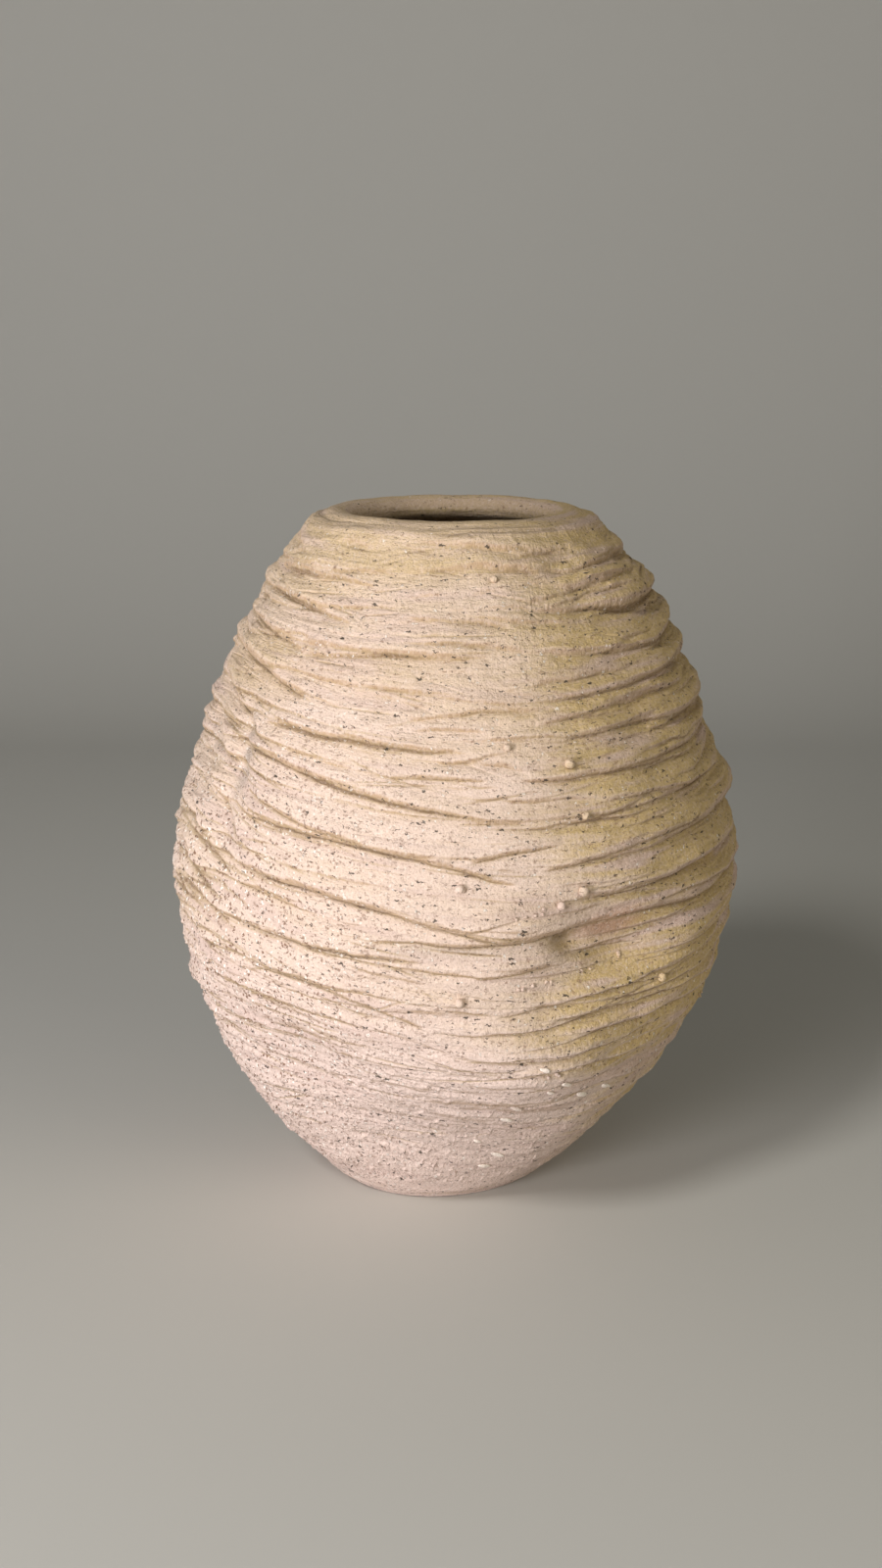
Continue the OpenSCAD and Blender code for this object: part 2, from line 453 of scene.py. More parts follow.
    def drag_marks(self):
        """Fine ridges combed along the folds, stronger at the sides and low on the right."""
        from_front = wrap(self.a + 95)
        side = ease((from_front - 10) / 60) + 0.35 * ease((-from_front - 10) / 60)
        low = ease((150 - self.z) / 90)
        amount = 0.62 + 0.7 * side + 0.35 * low
        patch = 0.5 + 0.5 * noise(self.a, self.flow, 26, 16, 21)
        turned = self.a + 2.5 * noise(self.a, self.flow, 60, 6, 26)
        bent = self.flow + 1.4 * noise(self.a, self.flow, 30, 9, 27)
        wide = noise(turned, bent, 17, 4.6, 22)
        middle = noise(turned, bent, 40, 2.2, 23)
        fine = noise(turned, bent, 80, 1.0, 24)
        self.out += amount * (0.95 * wide * patch + 0.34 * middle + 0.14 * fine)
        scratch = np.clip(noise(self.a, self.flow, 30, 1.3, 25) - 0.55, 0, 1)
        self.out -= 0.9 * amount * patch * scratch
        # Painted shade in the fine scratches.
        self.recess_shade += 0.5 * scratch * patch

    def unevenness(self):
        """Swellings left by the hands, and sand: thickest low down on the -X side."""
        self.out += 1.1 * noise(self.a, self.z, 14, 44, 31)
        self.out += 0.5 * noise(self.a, self.z, 34, 17, 32)
        self.out += 0.18 * noise(self.a, self.z, 120, 5.0, 33)
        sandy = near(self.a, -160, 45) * ease((200 - self.z) / 60)
        sandy = np.maximum(sandy, ease((125 - self.z) / 50) * near(self.a, -130, 60))
        turned = self.a + 0.6 * noise(self.a, self.z, 240, 3.1, 36)
        bent = self.z + 1.1 * noise(self.a, self.z, 200, 3.7, 37)
        self.out += (0.07 + 0.15 * sandy) * noise(turned, bent, 520, 1.4, 34)
        grains = np.clip(noise(turned, bent, 420, 1.7, 35) - 0.5, 0, 1)
        self.out += (0.4 + 1.7 * sandy) * grains

    def place(self):
        """The grid's points in mm."""
        radius = outline_r(self.z) - pressed_in(self.a, self.z) + foot_spread(self.a, self.z)
        slope = outline_slope(self.z)
        size = np.sqrt(1 + slope ** 2)
        out_r, out_z = 1 / size, -slope / size
        radius = radius + out_r * self.out - slope / size * self.down
        z = self.z + out_z * self.out - self.down / size
        return to_points(self.a, radius, z)


def make_surface():
    """The surface grid with its folds, marks and sand laid on it in turn."""
    surface = Surface()
    surface.lap_coils()
    for left, middle, right, lift in MAIN_FOLDS:
        surface.fold((left, middle, right), lift, wander=0.7, seed=left[1] * 7 + right[1])
    surface.scatter_folds(seed=5)
    surface.scratches(SCRATCHES, seed=6)
    surface.drag_marks()
    surface.unevenness()
    # Painted shade: the shadow in the thumb press, the valleys between the raised parts of the relief, and
    # more crease shade on the -X side, with some random variation.
    surface.recess_shade = np.maximum(surface.recess_shade, surface.thumb_shade())
    valley_shade = smooth_rows(surface.out, 60) - smooth_rows(surface.out, 3)
    surface.recess_shade += 0.6 * np.clip(valley_shade - 0.12, 0, 1.2)
    surface.recess_shade *= 1 + 0.4 * near(surface.a, -152, 26)
    surface.recess_shade *= 0.8 + 0.5 * noise(surface.a, surface.flow, 34, 7, 38)
    level = ease((surface.climb - SLAB_T) / 8)[:, None]
    surface.out *= level
    surface.down *= level
    return surface


def tilt_of(points, z):
    """How far the skin is turned up (or, negative, under) compared with the smooth body."""
    climbing = np.gradient(points, axis=0)
    around = (np.roll(points, -1, 1) - np.roll(points, 1, 1)) / 2
    square = np.cross(around, climbing)
    facing = square[:, :, 2] / np.linalg.norm(square, axis=-1)
    slope = outline_slope(z)
    return smooth_rows(facing + slope / np.sqrt(1 + slope ** 2), 4)


surface = make_surface()
OUTER = surface.place()
SKIN_TILT = tilt_of(OUTER, surface.z)
# Per point, for the colours: the painted recess shade, the skin's tilt, which paints light on up-facing
# slopes and shade on undersides, and the stain with its painted grey shade.
SHADE_AND_STAIN = np.stack([np.clip(surface.recess_shade, 0, 2), SKIN_TILT, surface.stains_and_shade()], -1)
FLOW = surface.flow


def inner_points(climb):
    """The inside wall at one climb: smooth, with soft finger ridges."""
    a = surface.azimuth
    z = climb + sag(a, climb)
    thick = WALL_T * np.sqrt(1 + outline_slope(z) ** 2)
    radius = outline_r(z) - pressed_in(a, z) - thick
    radius = radius + 0.6 * noise(a, z, 16, 9, 41) + 0.25 * noise(a, z, 60, 4, 42)
    return to_points(a, radius, z)


# -------- meshes
STRIPS = 4  # a ring's map is laid out as this many strips
INSIDE_SHADE = 0.55  # painted shade inside the vase: the inside faces are darkened
MAP_MARGIN = 0.004  # bare edge round each strip of the map
CURVE_STEPS = 24  # points worked out between two corners of a section


def add_object(name, data):
    made = bpy.data.objects.new(name, data)
    bpy.context.collection.objects.link(made)
    return made


def skin_mesh(name, rows, tint, flow, sharp_rows, ends=None):
    """A closed skin over rows of points, each row once round.

    Without ends the last row joins the first, which makes a ring. With ends, the skin closes on
    one middle point under the first row and one over the last.
    """
    rows = np.asarray(rows)
    count, columns = rows.shape[:2]
    points = rows.reshape(-1, 3)
    spans = count if ends is None else count - 1
    row = np.arange(spans)[:, None]
    column = np.arange(columns)[None, :]
    next_row, next_column = (row + 1) % count, (column + 1) % columns
    quads = np.stack(np.broadcast_arrays(
        row * columns + column, row * columns + next_column,
        next_row * columns + next_column, next_row * columns + column), -1).reshape(-1, 4)
    corners, sizes = quads.ravel(), np.full(len(quads), 4)
    if ends is not None:
        here, beside = np.arange(columns), (np.arange(columns) + 1) % columns
        low_tip, high_tip = np.full(columns, len(points)), np.full(columns, len(points) + 1)
        top = (count - 1) * columns
        fans = np.concatenate([np.stack([low_tip, beside, here], -1),
                               np.stack([high_tip, top + here, top + beside], -1)])
        corners = np.concatenate([corners, fans.ravel()])
        sizes = np.concatenate([sizes, np.full(len(fans), 3)])
        points = np.concatenate([points, ends])
    mesh = bpy.data.meshes.new(name)
    mesh.vertices.add(len(points))
    mesh.vertices.foreach_set("co", (points * MM).ravel().astype(np.float32))
    mesh.loops.add(len(corners))
    mesh.loops.foreach_set("vertex_index", corners.astype(np.int32))
    mesh.polygons.add(len(sizes))
    mesh.polygons.foreach_set("loop_start", (np.cumsum(sizes) - sizes).astype(np.int32))
    mesh.polygons.foreach_set("loop_total", sizes.astype(np.int32))
    mesh.update(calc_edges=True)
    map_skin(mesh, rows, spans, columns)
    spare = len(points) - count * columns
    tint = np.concatenate([tint.reshape(-1, 3), np.zeros((spare, 3))])
    flow = np.concatenate([np.ravel(flow), np.full(spare, SLAB_T)])
    put_vectors(mesh, "clay_shade_and_stain", tint)
    put_vectors(mesh, "clay_place", np.stack([points[:, 0], points[:, 1], flow], -1) * MM)
    mark_sharp(mesh, sharp_rows, columns)
    return add_object(name, mesh)


def map_skin(mesh, rows, spans, columns):
    """A clean map: the section's way round goes up the image, the azimuth along STRIPS strips."""
    step = np.linalg.norm(rows - np.roll(rows, -1, 0), axis=-1).mean(1)[:spans]
    up = np.concatenate([[0], np.cumsum(step)]) / step.sum()
    column = np.arange(columns)
    strip = column * STRIPS // columns
    start = (column * STRIPS % columns) / columns
    width = STRIPS / columns
    margin = MAP_MARGIN
    u = np.stack([start, start + width, start + width, start], -1) * (1 - 2 * margin) + margin
    low = np.broadcast_to(up[:-1, None, None], (spans, columns, 1))
    high = np.broadcast_to(up[1:, None, None], (spans, columns, 1))
    v = np.concatenate([low, low, high, high], -1)
    v = (strip[None, :, None] + margin + v * (1 - 2 * margin)) / STRIPS
    uv = np.stack([np.broadcast_to(u[None], v.shape), v], -1).reshape(-1, 2)
    fans = len(mesh.loops) - len(uv)
    if fans:
        middle = np.full(columns, 0.5)
        level = (strip + margin) / STRIPS
        top = (strip + 1 - margin) / STRIPS
        under = np.stack([middle, level, start + width, level, start, level], -1).reshape(-1, 2)
        over = np.stack([middle, top, start, top, start + width, top], -1).reshape(-1, 2)
        uv = np.concatenate([uv, under, over])
    layer = mesh.uv_layers.new(name="OFBake")
    layer.data.foreach_set("uv", uv.astype(np.float32).ravel())


def put_vectors(mesh, name, vectors):
    """Stores one vector for each point of a mesh."""
    layer = mesh.attributes.new(name, "FLOAT_VECTOR", "POINT")
    layer.data.foreach_set("vector", np.asarray(vectors, np.float32).ravel())


def mark_sharp(mesh, sharp_rows, columns):
    """Smooth shading everywhere except along the rows where two faces of the section meet."""
    mesh.polygons.foreach_set("use_smooth", np.ones(len(mesh.polygons), bool))
    ends = np.zeros(len(mesh.edges) * 2, np.int32)
    mesh.edges.foreach_get("vertices", ends)
    row = ends.reshape(-1, 2) // columns
    sharp = (row[:, 0] == row[:, 1]) & np.isin(row[:, 0], list(sharp_rows))
    layer = mesh.attributes.new("sharp_edge", "BOOLEAN", "EDGE")
    layer.data.foreach_set("value", sharp)


def coil_piece(index):
    """One wall coil: its outer face from the surface grid, its bed joints and its inside face."""
    first, last = index * COIL_ROWS, (index + 1) * COIL_ROWS
    outer = OUTER[first:last + 1]
    climbs = SLAB_T + (np.linspace(index + 1, index, INNER_ROWS + 1)) * COIL_H
    inner = np.stack([inner_points(np.float64(c)) for c in climbs])
    rows = np.concatenate([outer, inner])
    # Painted shade on the inside face.
    inner_tint = np.zeros((INNER_ROWS + 1, COLUMNS, 3))
    inner_tint[:, :, 0] = INSIDE_SHADE
    tint = np.concatenate([SHADE_AND_STAIN[first:last + 1], inner_tint])
    flow = np.concatenate([FLOW[first:last + 1], inner[:, :, 2]])
    corners = (0, COIL_ROWS, COIL_ROWS + 1, COIL_ROWS + 1 + INNER_ROWS)
    node = COILS[index]
    piece = skin_mesh("fired_" + node, rows, tint, flow, corners)
    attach(piece, "root")
    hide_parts(node)
    return piece


def smooth_path(corners, count):
    """Evenly stepped points on a smooth curve through the corners of a section."""
    corners = np.asarray(corners, float)
    padded = np.concatenate([[2 * corners[0] - corners[1]], corners, [2 * corners[-1] - corners[-2]]])
    fine = []
    for k in range(1, len(padded) - 2):
        p0, p1, p2, p3 = padded[k - 1:k + 3]
        t = np.linspace(0, 1, CURVE_STEPS, endpoint=False)[:, None]
        fine.append(0.5 * (2 * p1 + (p2 - p0) * t + (2 * p0 - 5 * p1 + 4 * p2 - p3) * t ** 2
                           + (3 * p1 - p0 - 3 * p2 + p3) * t ** 3))
    fine = np.concatenate(fine + [corners[-1:]])
    length = np.concatenate([[0], np.cumsum(np.linalg.norm(np.diff(fine, axis=0), axis=1))])
    even = np.linspace(0, length[-1], count)
    return np.stack([np.interp(even, length, fine[:, i]) for i in range(2)], -1)


def rim_piece():
    """The rim coil: up its outer face, over the rolled lip and down its inner face."""
    face = OUTER[len(COILS) * COIL_ROWS:]
    seam = face[-1]
    seam_r = axis_distance(seam)
    start_r, start_z = seam_r.mean(), seam[:, 2].mean()
    inner_edge = inner_points(np.float64(RIM_Z))
    end_r = axis_distance(inner_edge).mean()
    path = smooth_path([
        (start_r, start_z),
        (start_r - 2.6, start_z + 2.7),
        (CREST_R + 7.2, VASE_H - 2.3),
        (CREST_R + 3.6, VASE_H - 0.7),
        (CREST_R, VASE_H - 0.2),
        (MOUTH_R + 3.0, VASE_H - 1.4),
        (MOUTH_R + 0.5, VASE_H - 4.0),
        (MOUTH_R + 0.3, VASE_H - 7.0),
        (MOUTH_R + 3.5, VASE_H - 10.5),
        (end_r - 6.0, VASE_H - 14.0),
        (end_r, RIM_Z),
    ], LIP_ROWS)
    a = surface.azimuth
    count = len(path)
    tangent = np.gradient(path, axis=0)
    tangent /= np.linalg.norm(tangent, axis=1)[:, None]
    normal = np.stack([tangent[:, 1], -tangent[:, 0]], -1)
    travelled = np.concatenate([[0], np.cumsum(np.linalg.norm(np.diff(path, axis=0), axis=1))])
    outer_half = 1 - ease((travelled - 6) / 9)
    relief = np.zeros((count, COLUMNS))
    for k in range(count):
        at = np.full(COLUMNS, RIM_Z + LIP_FROM + travelled[k])
        relief[k] = 0.5 * noise(a, at, 12, 20, 51) + 0.25 * noise(a, at, 40, 7, 52)
        combed = 0.35 * noise(a, at, 20, 2.6, 53) + 0.25 * noise(a, at, 44, 1.5, 54)
        relief[k] += mix(0.35, 1.3, outer_half[k]) * combed + 0.07 * noise(a, at, 420, 1.5, 55)
    hold = (ease(travelled / 4) * ease((travelled[-1] - travelled) / 6))[:, None]
    wobble = 0.6 * ripple(a, 7, 56)
    radius = path[:, 0, None] + hold * (normal[:, 0, None] * relief + wobble)
    z = path[:, 1, None] + hold * normal[:, 1, None] * relief
    join = (1 - ease(travelled / 9))[:, None]
    radius = radius + join * (seam_r - start_r)[None, :]
    z = z + join * (seam[:, 2] - start_z)[None, :]
    lip = to_points(a, radius, z)
    lip[-1] = inner_edge
    rows = np.concatenate([face, lip[1:]])
    lip_tint = np.zeros((count - 1, COLUMNS, 3))
    # Painted shade in the dents of the lip's outer half, and painted shade down the inside of the vase.
    lip_tint[:, :, 0] = np.clip(-relief[1:] * 1.1, 0, 1) * outer_half[1:, None]
    lip_tint[:, :, 0] += INSIDE_SHADE * ease((travelled[1:, None] - 17) / 9)
    lip_flow = np.broadcast_to(RIM_Z + LIP_FROM + travelled[1:, None], (count - 1, COLUMNS))
    tint = np.concatenate([SHADE_AND_STAIN[-RIM_ROWS - 1:], lip_tint])
    flow = np.concatenate([FLOW[-RIM_ROWS - 1:], lip_flow])
    piece = skin_mesh("fired_rim_coil", rows, tint, flow, (0, len(rows) - 1))
    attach(piece, "root")
    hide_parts("rim_coil")
    return piece


UNDER_RINGS = (12, 24, 34)  # radii of the rings under the foot, from the middle
FLOOR_RINGS = (52, 46, 38, 28, 16)  # radii of the rings of the vase's floor, inward


def flat_ring(radius, z):
    """A level ring of points about the upright axis."""
    turn = np.radians(surface.azimuth)
    return np.stack([radius * np.cos(turn), radius * np.sin(turn), np.full(COLUMNS, float(z))], -1)


def slab_piece():
    """The base slab: flat foot, rounded edge, and the floor of the vase on top."""
    a = surface.azimuth
    turn = np.radians(a)
    rim = OUTER[0]
    rim_r = axis_distance(rim)
    path = smooth_path([
        (FOOT_R - 6, 0), (FOOT_R - 2, 0), (FOOT_R, 0.35), (FOOT_R + 1.8, 1.9),
        (FOOT_R + 6.4, SLAB_T / 2), (rim_r.mean(), SLAB_T),
    ], EDGE_ROWS)
    path[:, 1] = np.maximum(path[:, 1], 0)
    rows = [flat_ring(radius, 0) for radius in UNDER_RINGS]
    recess_shade = [np.zeros(COLUMNS) for _ in rows]
    for radius, z in path:
        share = z / SLAB_T
        at = np.full(COLUMNS, z)
        relief = ease(z / 3) * (1 - ease((share - 0.8) / 0.2))
        relief = relief * (0.5 * noise(a, at, 30, 3, 61) + 0.2 * noise(a, at, 90, 1.4, 62))
        r = radius + relief + mix(foot_spread(a, at), rim_r - rim_r.mean(), share)
        rows.append(np.stack([lean_x(at) * share + r * np.cos(turn), r * np.sin(turn), at], -1))
        # Painted shade in the dents of the foot's edge.
        recess_shade.append(np.clip(-relief, 0, 1))
    rows[-1] = rim
    edge = len(rows) - 1
    rows += [flat_ring(radius, SLAB_T) for radius in FLOOR_RINGS]
    recess_shade += [np.zeros(COLUMNS) for _ in FLOOR_RINGS]
    rows = np.asarray(rows)
    middle = [(0, 0, 0), (0, 0, SLAB_T)]
    tint = np.zeros(rows.shape)
    tint[:, :, 0] = recess_shade
    piece = skin_mesh("fired_base_slab", rows, tint, rows[:, :, 2], (edge,), middle)
    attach(piece, "root")
    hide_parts("base_slab")
    return piece


pieces = [slab_piece()] + [coil_piece(i) for i in range(len(COILS))] + [rim_piece()]

# -------- camera
EYE = (0.0, -0.9513, 0.4242)  # metres, from the foot's centre
LOOK_DOWN = 13.92  # degrees
SENSOR_MM = 36.0  # along the picture's long side
LENS_MM = 47.25


def make_camera():
    data = bpy.data.cameras.new("camera")
    data.sensor_width = SENSOR_MM
    data.lens = LENS_MM
    camera = add_object("camera", data)
    camera.location = EYE
    camera.rotation_euler = (math.radians(90 - LOOK_DOWN), 0, 0)
    bpy.context.scene.camera = camera


make_camera()

# -------- materials
def node(tree, kind, inputs=None, **settings):
    """A new node. Each input is a number, or the output that feeds it."""
    made = tree.nodes.new(kind)
    for key, value in settings.items():
        setattr(made, key, value)
    for key, value in (inputs or {}).items():
        if isinstance(value, bpy.types.NodeSocket):
            tree.links.new(value, made.inputs[key])
        else:
            made.inputs[key].default_value = value
    return made


def maths(tree, operation, a, b=0.0, clamp=False):
    return node(tree, "ShaderNodeMath", {0: a, 1: b}, operation=operation, use_clamp=clamp).outputs[0]


def plus(tree, a, b):
    return maths(tree, "ADD", a, b)


def minus(tree, a, b):
    return maths(tree, "SUBTRACT", a, b)


def times(tree, a, b):
    return maths(tree, "MULTIPLY", a, b)


def ramp(tree, value, low, high, to_low=0.0, to_high=1.0):
    """Eases from one value to another while the input goes from low to high."""
    return node(tree, "ShaderNodeMapRange", {
        "Value": value, "From Min": low, "From Max": high, "To Min": to_low, "To Max": to_high,
    }, interpolation_type="SMOOTHSTEP").outputs[0]


def blend(tree, share, a, b):
    """The first colour where the share is 0, the second where it is 1."""
    mixed = node(tree, "ShaderNodeMix", data_type="RGBA")
    for key, value in ((0, share), (6, a), (7, b)):
        if isinstance(value, bpy.types.NodeSocket):
            tree.links.new(value, mixed.inputs[key])
        else:
            mixed.inputs[key].default_value = value if key == 0 else (*value, 1.0)
    return mixed.outputs[2]


def texture_noise(tree, place, scale, detail=2.0, rough=0.5):
    return node(tree, "ShaderNodeTexNoise", {
        "Vector": place, "Scale": scale, "Detail": detail, "Roughness": rough}).outputs["Fac"]


def stretched(tree, place, along, across):
    """A place scaled by one amount in X and Y, by another in Z."""
    return node(tree, "ShaderNodeVectorMath", {0: place, 1: (along, along, across)},
                operation="MULTIPLY").outputs[0]


def specks(tree, place, cell_mm, size, keep, seed):
    """Grog grains: one per cell of a broken-up grid, most cells left empty. 1 inside a grain."""
    moved = node(tree, "ShaderNodeVectorMath", {0: place, 1: (seed, seed * 0.7, seed * 1.3)},
                 operation="ADD").outputs[0]
    cells = node(tree, "ShaderNodeTexVoronoi", {
        "Vector": moved, "Scale": 1000.0 / cell_mm, "Randomness": 1.0}, feature="F1")
    chance = node(tree, "ShaderNodeSeparateColor", {0: cells.outputs["Color"]})
    big = ramp(tree, chance.outputs[1], 0.0, 1.0, size * 0.2, size)
    shown = maths(tree, "LESS_THAN", chance.outputs[0], keep)
    radius = maths(tree, "MULTIPLY", big, shown)
    edge = maths(tree, "SUBTRACT", radius, cells.outputs["Distance"])
    return ramp(tree, edge, 0.0, 0.07)


PINK = (0.75, 0.59, 0.495)
PALE = (0.73, 0.58, 0.52)
OCHRE = (0.56, 0.412, 0.20)
LILAC = (0.60, 0.45, 0.40)
# The next four colours are painted shade: two for the undersides of the folds, one for the valleys, one
# for deep in the creases.
LILAC_SHADE_COLOUR = (0.44, 0.32, 0.26)
UNDERSIDE_SHADE_COLOUR = (0.50, 0.345, 0.22)
VALLEY_SHADE_COLOUR = (0.46, 0.34, 0.19)
CREASE_SHADE_COLOUR = (0.21, 0.14, 0.075)
STAIN = (0.47, 0.275, 0.18)
PALE_CHIP = (0.95, 0.85, 0.76)
DARK_GRAIN = (0.06, 0.048, 0.038)
# Painted grey shade, for the pinch's crease and the valley that runs to the thumb press.
GREY_SHADE_COLOUR = (0.38, 0.325, 0.28)
BROWN_GRAIN = (0.26, 0.15, 0.10)
WHITE_GRAIN = (0.88, 0.82, 0.76)


def ochre_wash(tree, place, tilt, bias, body_colour, low_colour):
    """Body colour with more ochre toward +X and the top, broken up along the folds: partly the clay's
    ochre, partly painted shade on the shaded +X side and the top. Up-facing slopes get more ochre as
    painted light, undersides less as painted shade.

    Also gives the share by which a place lies toward +X.
    """
    body = node(tree, "ShaderNodeSeparateXYZ", {0: place})
    x, z = body.outputs[0], body.outputs[2]
    band = texture_noise(tree, stretched(tree, place, 9.0, 62.0), 1.0, 3.0, 0.55)
    patch = texture_noise(tree, place, 14.0)
    # Partly painted shade: more ochre toward the shaded +X side and toward the top.
    to_right = ramp(tree, x, 0.01, 0.105, 0.0, 0.75)
    to_top = ramp(tree, z, 0.16, 0.31, 0.0, 0.35)
    wash = plus(tree, plus(tree, to_right, to_top), bias)
    # Painted light and shade: more ochre on up-facing slopes, less on undersides, most toward +X.
    slope_light = times(tree, tilt, plus(tree, to_right, 0.15))
    band, patch = minus(tree, band, 0.5), minus(tree, patch, 0.5)
    for share, amount in (band, 0.9), (patch, 0.6), (slope_light, 1.6):
        wash = plus(tree, wash, times(tree, share, amount))
    wash = minus(tree, wash, ramp(tree, z, 0.13, 0.06, 0.0, 0.35))
    wash = ramp(tree, wash, -0.05, 0.95)
    to_foot = ramp(tree, z, 0.15, 0.07, 0.0, 0.9)
    return blend(tree, wash, blend(tree, to_foot, body_colour, low_colour), OCHRE), to_right


def fold_shades(tree, place, tint, to_right, colour):
    """Lilac streaks, painted shade on undersides, the orange-pink stain, painted grey shade, and painted
    brown shade in the valleys and deep in the folds.
    """
    recess_shade, tilt, stain_and_shade = tint
    streak = texture_noise(tree, stretched(tree, place, 16.0, 150.0), 1.0)
    lilac_share = plus(tree, times(tree, to_right, 0.5), 0.5)
    lilac_share = times(tree, lilac_share, ramp(tree, streak, 0.5, 0.68))
    colour = blend(tree, lilac_share, colour, LILAC)
    # Painted shade for the undersides of the folds: brown, turning lilac toward +X.
    under = blend(tree, to_right, UNDERSIDE_SHADE_COLOUR, LILAC_SHADE_COLOUR)
    # Painted shade on undersides, the orange-pink stain, painted grey shade, and painted shade in the
    # valleys and creases, laid on in turn.
    for value, low, high, most, shade in [
        (tilt, -0.03, -0.42, 0.9, under),
        (stain_and_shade, 0.05, 0.9, 0.8, STAIN),
        (stain_and_shade, -0.05, -0.9, 0.6, GREY_SHADE_COLOUR),
        (recess_shade, 0.05, 0.9, 0.65, VALLEY_SHADE_COLOUR),
        (recess_shade, 0.6, 1.8, 0.7, CREASE_SHADE_COLOUR),
    ]:
        colour = blend(tree, ramp(tree, value, low, high, 0.0, most), colour, shade)
    return colour


def make_grog(tree, place, amount):
    """The grains in the clay, each kind 1 inside a grain, and two finer roughnesses."""
    jitter = node(tree, "ShaderNodeTexNoise", {"Vector": place, "Scale": 900.0, "Detail": 1.0})
    jitter = node(tree, "ShaderNodeVectorMath", {0: jitter.outputs["Color"], 1: (0.5, 0.5, 0.5)},
                  operation="SUBTRACT").outputs[0]
    jitter = node(tree, "ShaderNodeVectorMath", {0: jitter, "Scale": 0.0022}, operation="SCALE").outputs[0]
    ragged = node(tree, "ShaderNodeVectorMath", {0: place, 1: jitter}, operation="ADD").outputs[0]
    drawn_out = stretched(tree, ragged, 0.75, 2.6)
    body = node(tree, "ShaderNodeSeparateXYZ", {0: place})
    to_left = ramp(tree, body.outputs[0], 0.02, -0.09, 0.15, 1.0)
    gritty = times(tree, to_left, ramp(tree, body.outputs[2], 0.27, 0.13, 0.35, 1.0))
    return {
        "fine dark": specks(tree, drawn_out, 1.8, 0.44, 0.17 * amount, 1.1),
        "large dark": specks(tree, drawn_out, 3.6, 0.34, 0.13 * amount, 2.3),
        "brown": specks(tree, drawn_out, 2.2, 0.42, 0.40 * amount, 3.7),
        "white": specks(tree, ragged, 1.6, 0.42, 0.09 * amount, 5.9),
        "sand": times(tree, specks(tree, ragged, 1.4, 0.5, 0.46, 7.3), gritty),
        "pale sand": times(tree, specks(tree, ragged, 1.6, 0.46, 0.28, 8.1), gritty),
        "grit": texture_noise(tree, place, 1300.0, 2.0, 0.6),
        "lumps": texture_noise(tree, place, 620.0, 2.0, 0.6),
    }


def speckled(tree, grog, colour):
    """The clay's colour with its grains laid over it, the dark ones last."""
    for share, grain_colour in [
        (ramp(tree, grog["grit"], 0.4, 0.75, 0.0, 0.3), BROWN_GRAIN),
        (ramp(tree, grog["lumps"], 0.55, 0.35, 0.0, 0.25), PALE),
        (times(tree, grog["brown"], 0.5), BROWN_GRAIN),
        (times(tree, grog["white"], 0.7), WHITE_GRAIN),
        (grog["pale sand"], WHITE_GRAIN),
        (grog["sand"], BROWN_GRAIN),
        (times(tree, grog["fine dark"], 0.85), DARK_GRAIN),
        (times(tree, grog["large dark"], 0.9), DARK_GRAIN),
    ]:
        colour = blend(tree, share, colour, grain_colour)
    return colour


def clay_relief(tree, place, grog):
    """The normal of clay combed round the vase, with grains standing out and pits sunk in."""
    comb = texture_noise(tree, stretched(tree, place, 60.0, 900.0), 1.0, 3.0, 0.6)
    relief = plus(tree, times(tree, grog["grit"], 0.5), times(tree, comb, 0.7))
    relief = plus(tree, relief, times(tree, grog["lumps"], 0.7))
    relief = minus(tree, relief, times(tree, grog["large dark"], 0.4))
    relief = plus(tree, relief, times(tree, grog["white"], 0.5))
    relief = plus(tree, relief, times(tree, grog["brown"], 0.25))
    relief = plus(tree, relief, grog["sand"])
    raised = node(tree, "ShaderNodeBump", {"Height": relief, "Strength": 0.85, "Distance": 0.0009})
    return raised.outputs[0]


def clay_material(name, ochre_bias, grog_amount, body_colour=PINK, low_colour=PALE):
    """Matte speckled stoneware: pink clay, ochre wash that is partly painted light and shade, painted
    shade in the folds and on undersides, dark and white grog.
    """
    material = bpy.data.materials.new(name)
    material.use_nodes = True
    tree = material.node_tree
    shader = tree.nodes["Principled BSDF"]
    place = node(tree, "ShaderNodeAttribute", attribute_name="clay_place").outputs["Vector"]
    tint = node(tree, "ShaderNodeAttribute", attribute_name="clay_shade_and_stain").outputs["Vector"]
    recess_shade, tilt, stain_and_shade = node(tree, "ShaderNodeSeparateXYZ", {0: tint}).outputs
    colour, to_right = ochre_wash(tree, place, tilt, ochre_bias, body_colour, low_colour)
    colour = fold_shades(tree, place, (recess_shade, tilt, stain_and_shade), to_right, colour)
    grog = make_grog(tree, place, grog_amount)
    tree.links.new(speckled(tree, grog, colour), shader.inputs["Base Color"])
    tree.links.new(ramp(tree, grog["grit"], 0.3, 0.7, 0.82, 0.96), shader.inputs["Roughness"])
    tree.links.new(clay_relief(tree, place, grog), shader.inputs["Normal"])
    shader.inputs["IOR"].default_value = 1.45
    shader.inputs["Specular IOR Level"].default_value = 0.3
    return material


WALL = clay_material("wall_clay_fired", 0.0, 1.0)
LIP = clay_material("lip_clay_fired", 0.2, 0.5)
FOOT = clay_material("foot_clay_fired", -0.05, 1.1)
CHIP = clay_material("dry_chip_clay", -0.8, 0.1, PALE_CHIP, PALE_CHIP)
for piece in pieces:
    chosen = {"fired_base_slab": FOOT, "fired_rim_coil": LIP}.get(piece.name, WALL)
    piece.data.materials.append(chosen)

# -------- pellets and crumbs
PELLET_SEAT = 0.45  # height of a ball's middle over the face, in radii
PELLET_FLAT = 0.85  # height of a ball over its width
NEAREST_BALLS = 5.5  # points of the CAD closer than this, in mm, are on one ball


